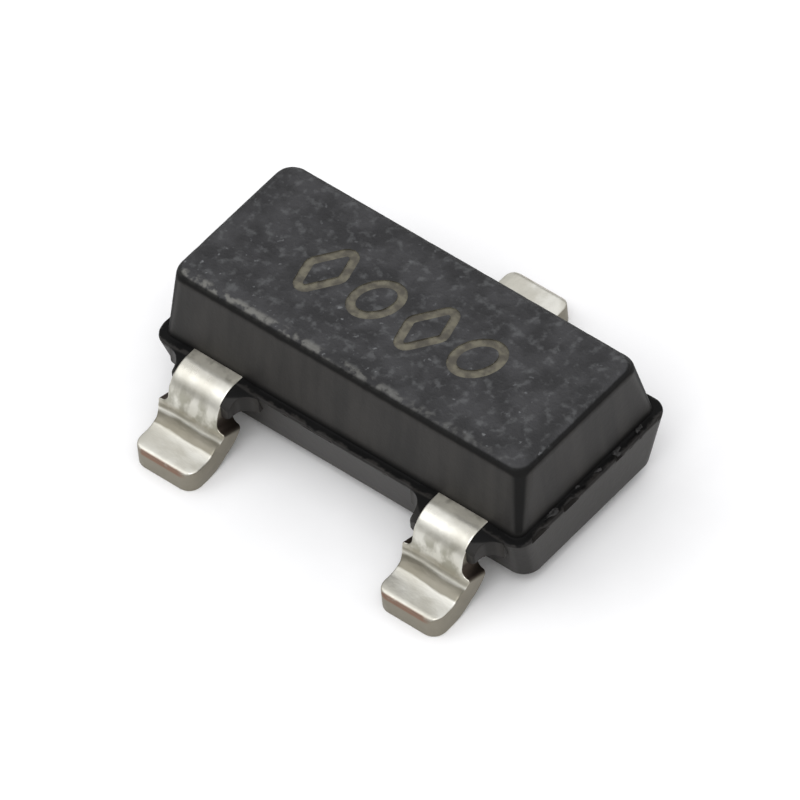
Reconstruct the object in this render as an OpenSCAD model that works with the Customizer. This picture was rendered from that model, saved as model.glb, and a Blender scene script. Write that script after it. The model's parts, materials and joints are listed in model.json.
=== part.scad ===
// Three-lead surface-mount voltage regulator in a moulded small-outline package.
// Origin: on the seating plane, under the middle of the body. +X runs along the
// body from lead 1 to lead 2, +Y points to the single rear lead, +Z is up. Sizes in mm.

/* [Moulded body] */
// Length of the body over its parting ledge
body_length = 2.88; // [2.7:0.02:3.1]
// Width of the body over its parting ledge
body_width = 1.416; // [1.38:0.01:1.6]
// Height of the top face above the seating plane
body_top = 1.0; // [0.95:0.01:1.2]
// Height of the parting plane above the seating plane
parting_height = 0.5; // [0.48:0.005:0.52]
// Gap between the seating plane and the underside of the body
standoff = 0.095; // [0.04:0.005:0.14]
// Width of the ledge left where the two mould halves meet
ledge_width = 0.062; // [0.03:0.002:0.08]
// Draft of the upper end faces, in degrees
upper_end_draft = 1.4; // [0.5:0.1:8]
// Draft of the upper long sides, in degrees
upper_side_draft = 10; // [4:0.5:12]
// Draft of the lower end faces, in degrees
lower_end_draft = 8.7; // [4:0.1:12]
// Draft of the lower long sides, in degrees
lower_side_draft = 14.4; // [6:0.2:16]
// Radius of the upright corners of the upper half
upper_corner = 0.08; // [0.03:0.01:0.12]
// Radius of the upright corners of the lower half
lower_corner = 0.12; // [0.06:0.01:0.16]
// Distance that the webs of resin beside a lead stand out past the ledge
web_length = 0.155; // [0.1:0.005:0.165]
// Width over both webs of a lead where they leave the ledge
web_root = 0.72; // [0.64:0.01:0.8]
// Width over both webs of a lead at their tips
web_tip = 0.498; // [0.46:0.006:0.52]
// Radius of the edge round the top face
top_edge = 0.045; // [0.02:0.005:0.06]
// Radius of the edge round the underside
bottom_edge = 0.03; // [0.015:0.005:0.05]

/* [Leads] */
// Distance between the centres of the two front leads
lead_pitch = 1.9; // [1.86:0.01:1.96]
// Distance between the toes of the front and rear leads
toe_span = 2.45; // [2.4:0.01:2.6]
// Thickness of the lead frame with its plating
lead_thick = 0.16; // [0.12:0.005:0.17]
// Height of the upper face of the lead frame where it leaves the body
shoulder_top = 0.52; // [0.51:0.005:0.54]
// Straight run of the shoulder beyond the upper body wall
shoulder_run = 0.07; // [0.05:0.005:0.09]
// Width of the neck where the lead leaves the body
neck_width = 0.385; // [0.32:0.005:0.42]
// Width of the stub left where the dam bar was punched off
stub_width = 0.53; // [0.5:0.005:0.55]
// Width of the foot
foot_width = 0.464; // [0.44:0.004:0.48]
// Slope of the riser below the horizontal, in degrees
riser_slope = 76; // [70:1:82]
// Inner radius of the bend at the shoulder
shoulder_bend = 0.03; // [0.02:0.005:0.05]
// Inner radius of the bend at the foot
foot_bend = 0.17; // [0.14:0.005:0.18]
// Length of riser between the shoulder bend and the dam-bar stub
stub_start = 0.09; // [0.06:0.005:0.11]
// Length over which the stub narrows to the foot
stub_taper = 0.16; // [0.1:0.01:0.18]
// Radius in the corner between the neck and the stub
stub_fillet = 0.06; // [0.02:0.005:0.065]
// Radius of the two corners at the toe, in plan
toe_corner = 0.09; // [0.05:0.01:0.12]
// Radius of the rolled upper edge across the toe
toe_roll = 0.045; // [0.02:0.005:0.06]

/* [Lead frame inside the body] */
// Length of the bonding pad on each front lead, along X
pad_length = 0.56; // [0.5:0.02:0.6]
// Depth of the bonding pad on each front lead, along Y
pad_depth = 0.27; // [0.22:0.01:0.29]
// Resin left between a bonding pad and the upper body wall
pad_cover = 0.06; // [0.05:0.005:0.08]
// Size of the die paddle along X
paddle_length = 1.14; // [1.06:0.02:1.16]
// Size of the die paddle along Y
paddle_depth = 0.68; // [0.64:0.01:0.7]
// Resin left between the paddle and the upper body wall at the rear
paddle_cover = 0.2; // [0.18:0.01:0.22]
// Radius of the holes that key the paddle into the resin
key_hole = 0.05; // [0.03:0.005:0.06]
// Distance from the centre of a keying hole to the two edges of the paddle
key_inset = 0.11; // [0.1:0.005:0.12]
// Radius of the corners of the pads and the paddle, in plan
frame_corner = 0.05; // [0.03:0.005:0.06]

/* [Chip and bond wires] */
// Size of the silicon chip along X
die_length = 0.62; // [0.54:0.01:0.66]
// Size of the silicon chip along Y
die_depth = 0.46; // [0.4:0.01:0.48]
// Thickness of the silicon chip
die_thick = 0.17; // [0.12:0.005:0.18]
// Thickness of the adhesive under the chip
attach_thick = 0.02; // [0.01:0.005:0.03]
// How far the adhesive spreads past the chip on each side
attach_spread = 0.02; // [0.01:0.005:0.03]
// Diameter of a bond wire
wire_dia = 0.025; // [0.02:0.001:0.032]
// Diameter of the ball where a wire starts on the chip
ball_dia = 0.07; // [0.06:0.005:0.08]
// Thickness of the ball where a wire starts on the chip
ball_thick = 0.018; // [0.012:0.002:0.024]
// Upright rise of a wire above its ball
wire_rise = 0.06; // [0.05:0.005:0.08]
// Radius of the bend at the top of a wire loop
wire_bend = 0.05; // [0.04:0.005:0.06]
// Distance from the centre of a ball to the edge of the chip
bond_inset = 0.07; // [0.06:0.005:0.09]
// Distance from the stitch on a bonding pad to the inner end of that pad
pad_stitch = 0.17; // [0.12:0.01:0.2]
// Distance from the stitch on the paddle to the end of the paddle
paddle_stitch = 0.075; // [0.06:0.005:0.09]

/* [Hidden] */
$fn = 64;
// small overlap that a cutter takes past a face
past = 0.05;
// angle at which a rounding crosses the faces beside it
blend = 4;
// long enough to pass through the whole part
reach = 4;

half_length = body_length / 2;
half_width = body_width / 2;
upper_height = body_top - parting_height;
lower_height = parting_height - standoff;
upper_half_length = half_length - ledge_width;
upper_half_width = half_width - ledge_width;

// the bent strip of a lead, measured in its own plane: u runs outwards from the body's
// middle plane, z is up, and the radii are those of the strip's middle line
mid_shoulder_bend = shoulder_bend + lead_thick / 2;
mid_foot_bend = foot_bend + lead_thick / 2;
heel_radius = foot_bend + lead_thick;
shoulder_bottom = shoulder_top - lead_thick;
bend_u = upper_half_width + shoulder_run;
bend_z = shoulder_bottom - shoulder_bend;
riser_u = bend_u + mid_shoulder_bend * sin(riser_slope);
riser_z = bend_z + mid_shoulder_bend * cos(riser_slope);
riser_end_z = heel_radius - mid_foot_bend * cos(riser_slope);
riser_length = (riser_z - riser_end_z) / sin(riser_slope);
riser_end_u = riser_u + riser_length * cos(riser_slope);
foot_u = riser_end_u + mid_foot_bend * sin(riser_slope);
toe_u = toe_span / 2;

// the strip's corners before they are rounded, in its side view
mitre = tan(riser_slope / 2);
shoulder_out = [bend_u + (shoulder_bend + lead_thick) * mitre, shoulder_top];
shoulder_in = [bend_u + shoulder_bend * mitre, shoulder_bottom];
foot_in = [foot_u - foot_bend * mitre, lead_thick];
heel = [foot_u - heel_radius * mitre, 0];

// webs of resin beside each lead: a hollow curve leads from the ledge to their straight tips
web_tip_u = half_width + web_length;
web_start_u = upper_half_width - past;
web_hollow = min(web_root - web_tip, 2 * web_length) / 2;

// plan of the lead frame inside the body
pad_outer_u = upper_half_width - pad_cover;
pad_inner_u = pad_outer_u - pad_depth;
paddle_outer = upper_half_width - paddle_cover;
paddle_inner = paddle_outer - paddle_depth;
paddle_mid = (paddle_outer + paddle_inner) / 2;

die_bottom = shoulder_top + attach_thick;
die_top = die_bottom + die_thick;
bond_x = die_length / 2 - bond_inset;
bond_y = die_depth / 2 - bond_inset;
ball_top = die_top + ball_thick;
// bead that joins the bend of a wire to its straight parts, a little over the wire's size
joint_swell = 1.05;
wire_joint = joint_swell * wire_dia;

// Piece between a corner at v and an arc of radius r inside it: taken away, it rounds an
// outer corner, and added, it fills an inner one. a1 and a2 are the directions from the
// arc's centre to the two sides.
module rounding(v, a1, a2, r)
{
    n1 = [cos(a1), sin(a1)];
    n2 = [cos(a2), sin(a2)];
    share = 1 / (1 + n1 * n2);
    out = r + past;
    translate(v - (n1 + n2) * r * cos(blend) * share)
        difference() {
            polygon([[0, 0], n1 * out, (n1 + n2) * out * share, n2 * out]);
            circle(r);
        }
}

// Section of a drafted block: base half size s at z = 0, leaning in by d at height h,
// with its two upper edges rounded by r
module drafted_section(s, h, d, r)
{
    difference() {
        polygon([[-s, 0], [s, 0], [s - d, h], [d - s, h]]);
        for (side = [0, 1])
            mirror([side, 0])
                rounding([s - d, h], atan2(d, h), 90, r);
    }
}

// What a rounding of radius r takes off the upright corner of a drafted block
module corner_cutter(sx, sy, h, dx, dy, r)
{
    slant = norm([dx, dy, h]);
    inset = r * cos(blend);
    translate([sx, sy, 0])
        rotate([asin(dy / slant), atan2(-dx, h), 0])
            translate([-inset, -inset, -past])
                difference() {
                    cube([2 * r, 2 * r, h + 3 * past]);
                    translate([0, 0, -past])
                        cylinder(r = r, h = h + 5 * past);
                }
}

// Block on z = 0 with a draft of its own on the ends (dx) and on the long sides (dy)
module drafted_block(sx, sy, h, end_draft, side_draft, corner, edge)
{
    dx = h * tan(end_draft);
    dy = h * tan(side_draft);
    difference() {
        intersection() {
            rotate([90, 0, 0])
                linear_extrude(2 * reach, center = true)
                    drafted_section(sx, h, dx, edge);
            rotate([90, 0, 90])
                linear_extrude(2 * reach, center = true)
                    drafted_section(sy, h, dy, edge);
        }
        for (mx = [0, 1], my = [0, 1])
            mirror([mx, 0, 0])
                mirror([0, my, 0])
                    corner_cutter(sx, sy, h, dx, dy, corner);
    }
}

module upper_half()
{
    translate([0, 0, parting_height])
        drafted_block(upper_half_length, upper_half_width, upper_height,
                      upper_end_draft, upper_side_draft, upper_corner, top_edge);
}

module lower_half()
{
    translate([0, 0, parting_height])
        mirror([0, 0, 1])
            drafted_block(half_length, half_width, lower_height,
                          lower_end_draft, lower_side_draft, lower_corner, bottom_edge);
}

// Plan of the web on one side of a lead
module web_plan()
{
    neck = neck_width / 2;
    tip = web_tip / 2;
    root = web_root / 2;
    polygon([[neck, web_start_u], [root, web_start_u], [root, half_width], [tip, half_width],
             [tip, web_tip_u], [neck, web_tip_u]]);
    rounding([tip, half_width], 180, -90, web_hollow);
}

// The two webs of each lead: flat underneath, and on top they follow the lead's bend
module webs()
{
    lead_place()
        difference() {
            translate([0, 0, shoulder_bottom])
                linear_extrude(lead_thick)
                    for (side = [0, 1])
                        mirror([side, 0])
                            web_plan();
            rotate([90, 0, 90])
                linear_extrude(2 * web_root, center = true)
                    rounding(shoulder_out, 90, 90 - riser_slope, shoulder_bend + lead_thick);
        }
}

// Puts a lead drawn with u along +Y at each of its places round the body
module lead_place(which = [1, 2, 3])
{
    for (n = which)
        if (n == 3)
            children();
        else
            translate([(n == 1 ? -1 : 1) * lead_pitch / 2, 0, 0])
                mirror([0, 1, 0])
                    children();
}

// Side view of the formed strip: u outwards, z up
module strip_side()
{
    start = upper_half_width - 2 * past;
    difference() {
        union() {
            polygon([[start, shoulder_top], shoulder_out, foot_in, [toe_u, lead_thick],
                     [toe_u, 0], heel, shoulder_in, [start, shoulder_bottom]]);
            rounding(shoulder_in, 90, 90 - riser_slope, shoulder_bend);
            rounding(foot_in, -90, -90 - riser_slope, foot_bend);
        }
        rounding(shoulder_out, 90, 90 - riser_slope, shoulder_bend + lead_thick);
        rounding(heel, -90, -90 - riser_slope, heel_radius);
        rounding([toe_u, lead_thick], 0, 90, toe_roll);
    }
}

// The formed strip at one width
module strip(width)
{
    rotate([90, 0, 90])
        linear_extrude(width, center = true)
            strip_side();
}

// Outline that the strip was stamped to, in the plane of its riser: neck, stub of the
// dam bar, taper to the foot. Along the strip it starts where the shoulder bend ends.
module stamped_outline()
{
    neck = neck_width / 2;
    stub = stub_width / 2;
    foot = foot_width / 2;
    translate([-neck, -reach])
        square([neck_width, reach + stub_start + past]);
    polygon([[-stub, stub_start], [stub, stub_start], [foot, stub_start + stub_taper],
             [foot, reach], [-foot, reach], [-foot, stub_start + stub_taper]]);
    fillet = min(stub_fillet, 0.9 * (stub - neck));
    for (side = [0, 1])
        mirror([side, 0])
            rounding([neck, stub_start], 180, 90, fillet);
}

// What rounds the two corners of the toe in plan
module toe_corners()
{
    for (side = [0, 1])
        mirror([side, 0])
            rounding([foot_width / 2, toe_u], 0, 90, toe_corner);
}

// Everything of a lead that is seen outside the body, formed from one strip
module formed_lead()
{
    difference() {
        intersection() {
            strip(2 * stub_width);
            translate([0, riser_u, riser_z])
                rotate([-riser_slope, 0, 0])
                    linear_extrude(reach, center = true)
                        stamped_outline();
        }
        translate([0, 0, -past])
            linear_extrude(lead_thick + 2 * past)
                toe_corners();
    }
}

// Rectangle in plan, centred across and starting at u0, with its corners rounded
module plate_plan(u0, across, depth, r)
{
    difference() {
        translate([-across / 2, u0])
            square([across, depth]);
        for (side = [0, 1])
            mirror([side, 0]) {
                rounding([across / 2, u0], 0, -90, r);
                rounding([across / 2, u0 + depth], 0, 90, r);
            }
    }
}

// Inner end of a front lead: a T whose bar takes the bond wire and locks into the resin
module pad_plan()
{
    translate([-neck_width / 2, pad_inner_u + pad_depth / 2])
        square([neck_width, upper_half_width - past - pad_inner_u - pad_depth / 2]);
    plate_plan(pad_inner_u, pad_length, pad_depth, frame_corner);
}

module front_lead(n)
{
    lead_place([n]) {
        formed_lead();
        translate([0, 0, shoulder_bottom])
            linear_extrude(lead_thick)
                pad_plan();
    }
}

// Inner end of the rear lead: the paddle under the chip, with two holes that key it
module paddle_plan()
{
    difference() {
        union() {
            translate([-neck_width / 2, paddle_mid])
                square([neck_width, upper_half_width - past - paddle_mid]);
            plate_plan(paddle_inner, paddle_length, paddle_depth, frame_corner);
        }
        for (side = [-1, 1])
            translate([side * (paddle_length / 2 - key_inset), paddle_inner + key_inset])
                circle(key_hole);
    }
}

module rear_lead()
{
    formed_lead();
    translate([0, 0, shoulder_bottom])
        linear_extrude(lead_thick)
            paddle_plan();
}

// Slope of a wire's straight run, found by stepping towards the far bond
function wire_slope(run, drop, n = 8) =
    n == 0 ? atan2(drop, run)
           : let (s = wire_slope(run, drop, n - 1))
             atan2(drop + wire_bend * cos(s), run - wire_bend - wire_bend * sin(s));

// The same to a hundredth of a degree, so that bend and straight run meet exactly
function even_slope(run, drop) = round(100 * wire_slope(run, drop)) / 100;

// A ball-bonded wire from a ball at point a on the chip to a stitch at point b on metal
module bond_wire(a, b)
{
    run = norm(b - a);
    top = ball_top + wire_rise;
    slope = even_slope(run, top - shoulder_top);
    straight = (run - wire_bend - wire_bend * sin(slope)) / cos(slope);
    translate([a[0], a[1], 0])
        rotate([0, 0, atan2(b[1] - a[1], b[0] - a[0])]) {
            translate([0, 0, die_top])
                cylinder(d = ball_dia, h = ball_thick);
            translate([0, 0, ball_top - ball_thick / 2])
                cylinder(d = wire_dia, h = wire_rise + ball_thick / 2);
            translate([0, 0, top])
                sphere(d = wire_joint);
            translate([wire_bend, 0, top])
                rotate([90, 0, 0])
                    rotate([0, 0, 90 - slope])
                        rotate_extrude(angle = 90 + slope)
                            translate([wire_bend, 0])
                                circle(d = wire_dia);
            intersection() {
                translate([wire_bend + wire_bend * sin(slope), 0, top + wire_bend * cos(slope)]) {
                    sphere(d = wire_joint);
                    rotate([0, 90 + slope, 0])
                        cylinder(d = wire_dia, h = straight + wire_dia);
                }
                translate([-reach / 2, -reach / 2, shoulder_top])
                    cube([reach, reach, reach]);
            }
        }
}

module bonding_pad_wire(side)
{
    bond_wire([side * bond_x, paddle_mid - bond_y],
              [side * ((lead_pitch - pad_length) / 2 + pad_stitch), -(pad_inner_u + pad_depth / 2)]);
}

module wires()
{
    wire_ground();
    wire_output();
    wire_input();
}

module body()
{
    color([0.13, 0.13, 0.14])
        difference() {
            union() {
                upper_half();
                lower_half();
                webs();
            }
            lead_1();
            lead_2();
            lead_3();
            die();
            die_attach();
            wires();
        }
}

module lead_1()
{
    color([0.78, 0.77, 0.74])
        front_lead(1);
}

module lead_2()
{
    color([0.78, 0.77, 0.74])
        front_lead(2);
}

module lead_3()
{
    color([0.78, 0.77, 0.74])
        rear_lead();
}

module die()
{
    color([0.35, 0.36, 0.42])
        translate([-die_length / 2, paddle_mid - die_depth / 2, die_bottom])
            cube([die_length, die_depth, die_thick]);
}

module die_attach()
{
    color([0.62, 0.6, 0.56])
        translate([-die_length / 2 - attach_spread, paddle_mid - die_depth / 2 - attach_spread,
                   shoulder_top])
            cube([die_length + 2 * attach_spread, die_depth + 2 * attach_spread, attach_thick]);
}

module wire_ground()
{
    color([0.86, 0.66, 0.24])
        bonding_pad_wire(-1);
}

module wire_output()
{
    color([0.86, 0.66, 0.24])
        bonding_pad_wire(1);
}

module wire_input()
{
    color([0.86, 0.66, 0.24])
        bond_wire([bond_x, paddle_mid + bond_y],
                  [paddle_length / 2 - paddle_stitch, paddle_mid + bond_y]);
}

body();
lead_1();
lead_2();
lead_3();
die();
die_attach();
wire_ground();
wire_output();
wire_input();
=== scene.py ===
# %% [markdown]
# # A small-outline voltage regulator, dressed in Blender
#
# The part is a low-dropout voltage regulator in the smallest of the common three-lead
# packages: a black resin brick not quite 3 mm long, with two tinned leads along its
# front edge and one behind. The solid model comes in as a fixed frame. It already holds
# every true size, so this lesson only makes the surfaces finer: it moulds the resin
# again with its ledge and its rough gate, stamps and bends the leads the way a press
# does, and gives every surface a finish of its own.

# %% Load the frame
import json
import math

import bmesh
import bpy
from mathutils import Matrix, Vector, noise

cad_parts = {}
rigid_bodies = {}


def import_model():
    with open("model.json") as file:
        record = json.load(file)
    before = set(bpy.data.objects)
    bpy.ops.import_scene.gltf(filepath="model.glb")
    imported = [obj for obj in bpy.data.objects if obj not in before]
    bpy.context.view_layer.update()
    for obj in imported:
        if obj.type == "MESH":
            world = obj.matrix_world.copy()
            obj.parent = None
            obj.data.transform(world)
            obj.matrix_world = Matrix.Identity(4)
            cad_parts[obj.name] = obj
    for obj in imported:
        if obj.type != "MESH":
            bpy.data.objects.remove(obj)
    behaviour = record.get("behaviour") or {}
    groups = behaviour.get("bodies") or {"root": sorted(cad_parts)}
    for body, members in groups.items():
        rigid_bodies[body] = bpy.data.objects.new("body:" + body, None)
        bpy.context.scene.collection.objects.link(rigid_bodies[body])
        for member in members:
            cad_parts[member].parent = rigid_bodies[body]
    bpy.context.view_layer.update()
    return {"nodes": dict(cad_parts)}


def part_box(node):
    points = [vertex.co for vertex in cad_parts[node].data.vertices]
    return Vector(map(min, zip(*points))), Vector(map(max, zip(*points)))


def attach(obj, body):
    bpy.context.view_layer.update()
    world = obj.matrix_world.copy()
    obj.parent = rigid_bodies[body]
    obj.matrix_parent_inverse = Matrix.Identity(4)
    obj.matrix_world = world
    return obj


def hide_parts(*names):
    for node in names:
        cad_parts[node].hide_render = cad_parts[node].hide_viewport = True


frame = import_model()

MM = 0.001
print("nodes:", sorted(frame["nodes"]))

# %% [markdown]
# ## Working in millimetres
#
# Blender's unit is the metre, and a part this small would be all leading zeros. Every
# piece is therefore drawn in millimetres and shrunk once, when it is finished. Its
# object then sits at the origin with no scale of its own, as the frame's nodes do.


# %% Helpers for objects and meshes
def new_object(name, data):
    """An object at the origin for a mesh, a curve, a lamp or a camera."""
    thing = bpy.data.objects.new(name, data)
    bpy.context.scene.collection.objects.link(thing)
    return thing


def finished_piece(name, mesh, node_name):
    """Shrinks a mesh drawn in millimetres, hangs its object on the root body and hides the node.
    """
    mesh.transform(Matrix.Scale(MM, 4))
    piece = new_object(name, mesh)
    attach(piece, "root")
    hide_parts(node_name)
    print(f"{name}: {len(mesh.vertices)} vertices, {len(mesh.polygons)} faces")
    return piece


def evaluated_mesh(thing):
    """The plain mesh that an object's modifiers leave, with the object then removed."""
    depsgraph = bpy.context.evaluated_depsgraph_get()
    mesh = bpy.data.meshes.new_from_object(thing.evaluated_get(depsgraph), depsgraph=depsgraph)
    bpy.data.objects.remove(thing)
    return mesh


def written(work, mesh):
    """Turns the faces of a bmesh outwards, writes it into a mesh, and frees it."""
    bmesh.ops.recalc_face_normals(work, faces=work.faces)
    work.to_mesh(mesh)
    work.free()
    return mesh


def smoothed(mesh, sharp_angle):
    """Shades a mesh smooth, except at edges that turn by more than an angle in degrees."""
    mesh.polygons.foreach_set("use_smooth", [True] * len(mesh.polygons))
    mesh.set_sharp_from_angle(angle=math.radians(sharp_angle))
    return mesh


def add_outline(curve, outline, height, closed=True):
    """Adds a polyline of (x, y) points to a curve, at one height."""
    spline = curve.splines.new("POLY")
    spline.points.add(len(outline) - 1)
    for point, place in zip(spline.points, outline):
        point.co = (place[0], place[1], height, 1.0)
    spline.use_cyclic_u = closed


# %% Sizes of the body
body_low, body_high = (Vector(corner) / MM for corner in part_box("body"))
HALF_LENGTH = body_high.x
HALF_WIDTH = 0.708
BODY_TOP = body_high.z
BODY_BOTTOM = body_low.z
PARTING = 0.5
LEDGE = 0.062
UPPER_DRAFT = (math.tan(math.radians(1.4)), math.tan(math.radians(10.0)))
LOWER_DRAFT = (math.tan(math.radians(8.7)), math.tan(math.radians(14.4)))
UPPER_CORNER = 0.065
CORNER_GROWTH = 0.13
LOWER_CORNER = 0.12
UPPER_EDGE = 0.055
LOWER_EDGE = 0.03
RIM_EDGE = 0.016
NICK_IN = 0.03
NICK_DOWN = 0.014
RIM_WAVE = 0.003
TOP_WEAR = 0.0035
WEAR_DEPTH = 0.04
print("body half sizes in mm:", round(HALF_LENGTH, 4), HALF_WIDTH, round(BODY_TOP, 4))

# %% [markdown]
# ## Building node trees
#
# Materials, the sky and Geometry Nodes are all graphs. A few helpers keep the lessons
# below readable: one adds a node with its inputs already joined, and others add the
# sums, so that a formula reads as a formula.


# %% Helpers for node trees
def join(tree, value, socket):
    """Links a socket or a node's first output, or sets a constant, on an input."""
    if isinstance(value, bpy.types.Node):
        value = value.outputs[0]
    if isinstance(value, bpy.types.NodeSocket):
        tree.links.new(value, socket)
    else:
        socket.default_value = value


def add_node(tree, kind, inputs=None, **settings):
    """Adds a node, sets its properties, and joins its inputs by name or number."""
    node = tree.nodes.new(kind)
    for key, value in settings.items():
        setattr(node, key, value)
    for key, value in (inputs or {}).items():
        join(tree, value, node.inputs[key])
    return node


def maths(tree, operation, *values):
    """A Math node of one operation; returns its output socket."""
    return add_node(tree, "ShaderNodeMath", dict(enumerate(values)),
                    operation=operation).outputs[0]


def vector_maths(tree, operation, *values):
    """A Vector Math node of one operation; returns its vector."""
    return add_node(tree, "ShaderNodeVectorMath", dict(enumerate(values)),
                    operation=operation).outputs[0]


def product(tree, first, *others):
    """The product of two or more values."""
    for other in others:
        first = maths(tree, "MULTIPLY", first, other)
    return first


def held(tree, value, low, high):
    """A value kept between two others."""
    return maths(tree, "MINIMUM", maths(tree, "MAXIMUM", value, low), high)


def stepped(tree, value, start, end):
    """A soft step from 0 at one value to 1 at another."""
    return add_node(tree, "ShaderNodeMapRange",
                    {"Value": value, "From Min": start, "From Max": end},
                    interpolation_type="SMOOTHSTEP").outputs["Result"]


def banded(tree, value, start, full, fade, end):
    """A mask that rises from start to full and falls from fade to end."""
    return product(tree, stepped(tree, value, start, full), stepped(tree, value, end, fade))


def wandering(tree, value, noise_value, size):
    """A value with a noise round 0.5 added, scaled to a size."""
    return maths(tree, "ADD", value,
                 product(tree, maths(tree, "SUBTRACT", noise_value, 0.5), size))


def separated(tree, vector):
    """The three parts of a vector."""
    return add_node(tree, "ShaderNodeSeparateXYZ", {0: vector}).outputs


def place_in_mm(tree):
    """A point's place in the part's own frame, in millimetres."""
    place = add_node(tree, "ShaderNodeTexCoord").outputs["Object"]
    return vector_maths(tree, "MULTIPLY", place, (1 / MM, 1 / MM, 1 / MM))


def group_tree(name, kind, inputs, outputs):
    """An empty node group with named sockets; inputs are (name, kind, default)."""
    tree = bpy.data.node_groups.new(name, kind)
    for label, sort, default in inputs:
        socket = tree.interface.new_socket(label, in_out="INPUT", socket_type="NodeSocket" + sort)
        if default is not None:
            socket.default_value = default
    for label, sort in outputs:
        tree.interface.new_socket(label, in_out="OUTPUT", socket_type="NodeSocket" + sort)
    group_in, group_out = (tree.nodes.new(kind) for kind in ("NodeGroupInput", "NodeGroupOutput"))
    return tree, group_in.outputs, group_out.inputs


# %% [markdown]
# ## The camera
#
# The photograph was taken from the front right, looking down at about 49 degrees, with
# a long lens that hardly shows any perspective. A camera that is slightly rolled and
# placed 80 mm away gives the same lines. It is aimed half way up the body.

# %% Place the camera
CAMERA_AZIMUTH = math.radians(44.28)
CAMERA_ELEVATION = math.radians(48.85)
CAMERA_ROLL = math.radians(-6.0)
CAMERA_DISTANCE = 80.0
CAMERA_LENS = 604.6
CAMERA_SHIFT = (-0.0118, -0.0369)

towards_camera = Vector((math.sin(CAMERA_AZIMUTH) * math.cos(CAMERA_ELEVATION),
                         -math.cos(CAMERA_AZIMUTH) * math.cos(CAMERA_ELEVATION),
                         math.sin(CAMERA_ELEVATION)))
level_right = Vector((math.cos(CAMERA_AZIMUTH), math.sin(CAMERA_AZIMUTH), 0.0))
level_up = towards_camera.cross(level_right)
image_right = level_right * math.cos(CAMERA_ROLL) + level_up * math.sin(CAMERA_ROLL)
image_up = level_up * math.cos(CAMERA_ROLL) - level_right * math.sin(CAMERA_ROLL)

camera_data = bpy.data.cameras.new("camera")
camera_data.sensor_width = 36.0
camera_data.lens = CAMERA_LENS
camera_data.shift_x, camera_data.shift_y = CAMERA_SHIFT
camera_data.clip_start = 0.001
camera_data.clip_end = 10.0
camera = new_object("camera", camera_data)
turn = Matrix((image_right, image_up, towards_camera)).transposed().to_4x4()
aim = Vector((0.0, 0.0, PARTING * MM))
camera.matrix_world = Matrix.Translation(aim + towards_camera * CAMERA_DISTANCE * MM) @ turn
bpy.context.scene.camera = camera
print("camera at", [round(value, 4) for value in camera.matrix_world.translation])

# %% [markdown]
# ## Light and floor
#
# The photograph has the even light of a white tent: a bright roof, a pale ground, and
# dimmer walls at the level of the object. The sky here is a roof of even light that fades
# towards the horizon. Two soft lamps on the camera's side whiten the floor from where no
# flat face of the part can mirror them.

# %% Build the floor
floor_mesh = bpy.data.meshes.new("floor")
FLOOR_HALF = 0.5
floor_mesh.from_pydata([(-FLOOR_HALF, -FLOOR_HALF, 0), (FLOOR_HALF, -FLOOR_HALF, 0),
                        (FLOOR_HALF, FLOOR_HALF, 0), (-FLOOR_HALF, FLOOR_HALF, 0)],
                       [], [(0, 1, 2, 3)])
floor = new_object("floor", floor_mesh)

# %% Hang the lamps
LAMP_DISTANCE = 150.0
LAMP_SIZE = 90.0

for lamp_name, direction, power in (("tent_front", (0.28, -0.42, 0.86), 0.07),
                                    ("tent_left", (-0.55, -0.45, 0.71), 0.02)):
    data = bpy.data.lights.new(lamp_name, "AREA")
    data.size = LAMP_SIZE * MM
    data.energy = power
    away = Vector(direction).normalized()
    turn_lamp = away.to_track_quat("Z", "Y").to_matrix().to_4x4()
    lamp = new_object(lamp_name, data)
    lamp.matrix_world = Matrix.Translation(away * LAMP_DISTANCE * MM) @ turn_lamp

# %% A roof of light that fades towards the horizon
HORIZON = (0.30, (0.34, 0.335, 0.32))
ROOF = (0.68, (1.0, 1.0, 1.02))
SKY_STRENGTH = 1.12

world = bpy.data.worlds.new("white_tent")
bpy.context.scene.world = world
world.use_nodes = True
sky = world.node_tree
sky_height = separated(sky, add_node(sky, "ShaderNodeTexCoord").outputs["Generated"])["Z"]
sky_ramp = add_node(sky, "ShaderNodeValToRGB", {"Fac": sky_height})
sky_ramp.color_ramp.interpolation = "EASE"
for stop, (position, colour) in zip(sky_ramp.color_ramp.elements, (HORIZON, ROOF)):
    stop.position = position
    stop.color = (*colour, 1.0)
background = sky.nodes["Background"].inputs
join(sky, sky_ramp, background["Color"])
background["Strength"].default_value = SKY_STRENGTH
bpy.context.scene.view_settings.view_transform = "Standard"
print("sky from", HORIZON[1], "at the horizon to", ROOF[1])

# %% [markdown]
# ## The shared finish
#
# One effect comes back in nearly every material, so it is a node group. *Grain* is fine
# noise measured in millimetres, for blotches and for the height of a bump. Drawn out
# along one direction it gives streaks, for drawn metal and for mould drag.

# %% Grain and streaks
grain_tree, grain_in, grain_out = group_tree(
    "grain", "ShaderNodeTree",
    [("Features per mm", "Float", 10.0), ("Detail", "Float", 4.0),
     ("Low", "Float", 0.35), ("High", "Float", 0.65),
     ("Stretch", "Vector", (1.0, 1.0, 1.0))],
    [("Mask", "Float"), ("Height", "Float")])
stretched = vector_maths(grain_tree, "MULTIPLY", place_in_mm(grain_tree), grain_in["Stretch"])
grain_noise = add_node(grain_tree, "ShaderNodeTexNoise", {
    "Vector": stretched, "Scale": grain_in["Features per mm"], "Detail": grain_in["Detail"]})
join(grain_tree, stepped(grain_tree, grain_noise, grain_in["Low"], grain_in["High"]),
     grain_out["Mask"])
join(grain_tree, grain_noise, grain_out["Height"])
print("shared finish:", grain_tree.name)


# %% Helpers for materials
def new_material(name):
    """A material with its node tree and its Principled shader."""
    material = bpy.data.materials.new(name)
    material.use_nodes = True
    return material, material.node_tree, material.node_tree.nodes["Principled BSDF"]


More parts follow.
